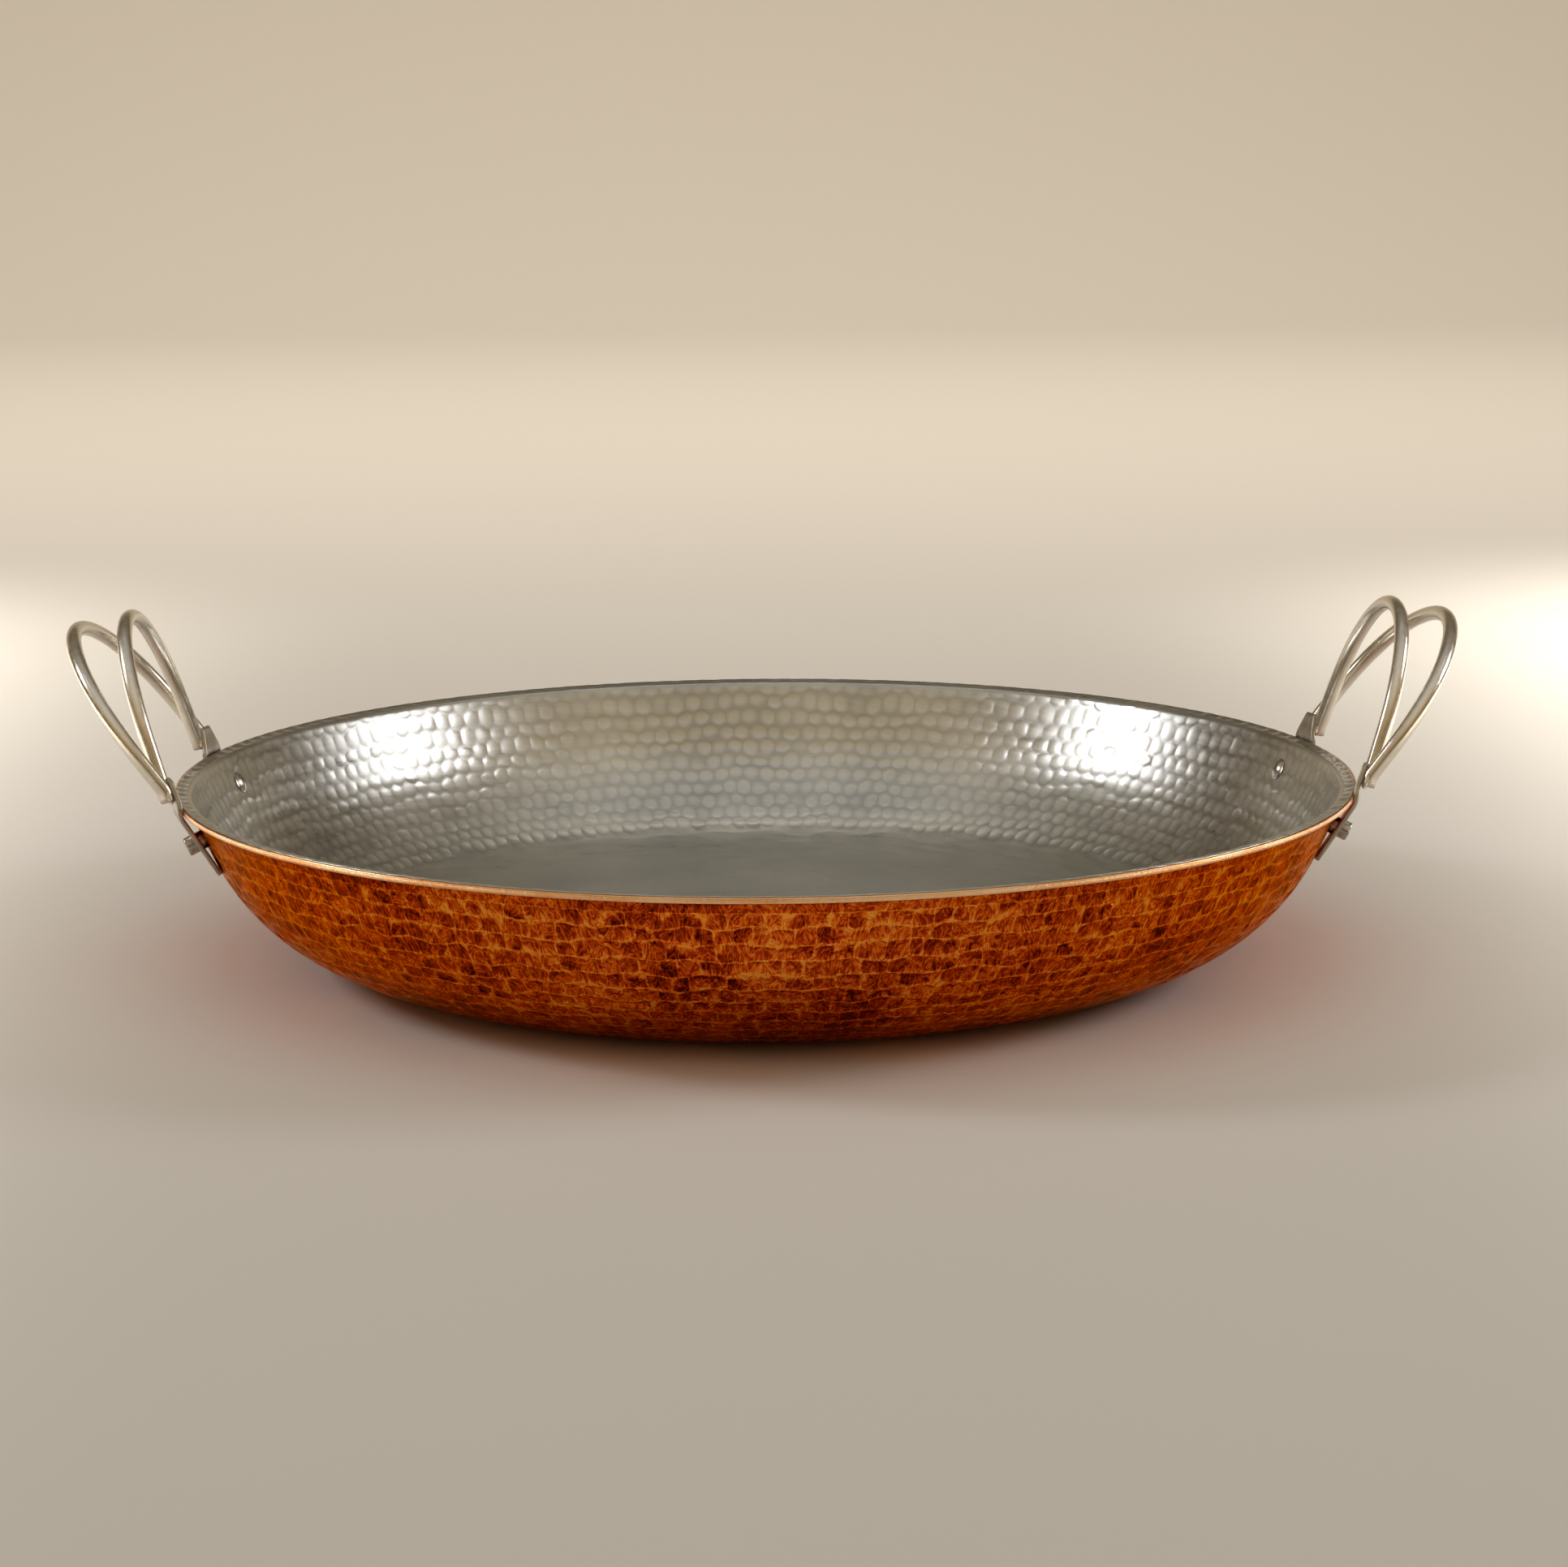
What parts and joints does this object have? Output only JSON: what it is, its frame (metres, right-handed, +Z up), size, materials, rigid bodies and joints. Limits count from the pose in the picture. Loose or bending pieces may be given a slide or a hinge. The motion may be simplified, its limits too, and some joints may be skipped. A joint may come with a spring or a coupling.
{
  "type": "serving pan",
  "caption": "Shallow round flat-bottomed serving pan of hammered copper, tinned inside, with a flared lip and two riveted double-rod loop handles.",
  "frame": {"origin": "centre of the resting face under the bowl", "axes": "+Z up out of the bowl, +X through the middle of one handle"},
  "size_m": [0.448, 0.381, 0.1131],
  "materials": {
    "hammered_copper": "polished, hammered",
    "wiped_tin": "satin, hammered",
    "handle_steel": "satin polished",
    "strap_steel": "satin",
    "rivet_steel": "bright"
  },
  "bodies": {
    "root": {"copper_bowl": "hammered_copper", "tin_lining": "wiped_tin", "left_inner_loop": "handle_steel", "left_outer_loop": "handle_steel", "left_front_strap": "strap_steel", "left_back_strap": "strap_steel", "left_front_rivet": "rivet_steel", "left_back_rivet": "rivet_steel", "right_inner_loop": "handle_steel", "right_outer_loop": "handle_steel", "right_front_strap": "strap_steel", "right_back_strap": "strap_steel", "right_front_rivet": "rivet_steel", "right_back_rivet": "rivet_steel"}
  },
  "joints": []
}
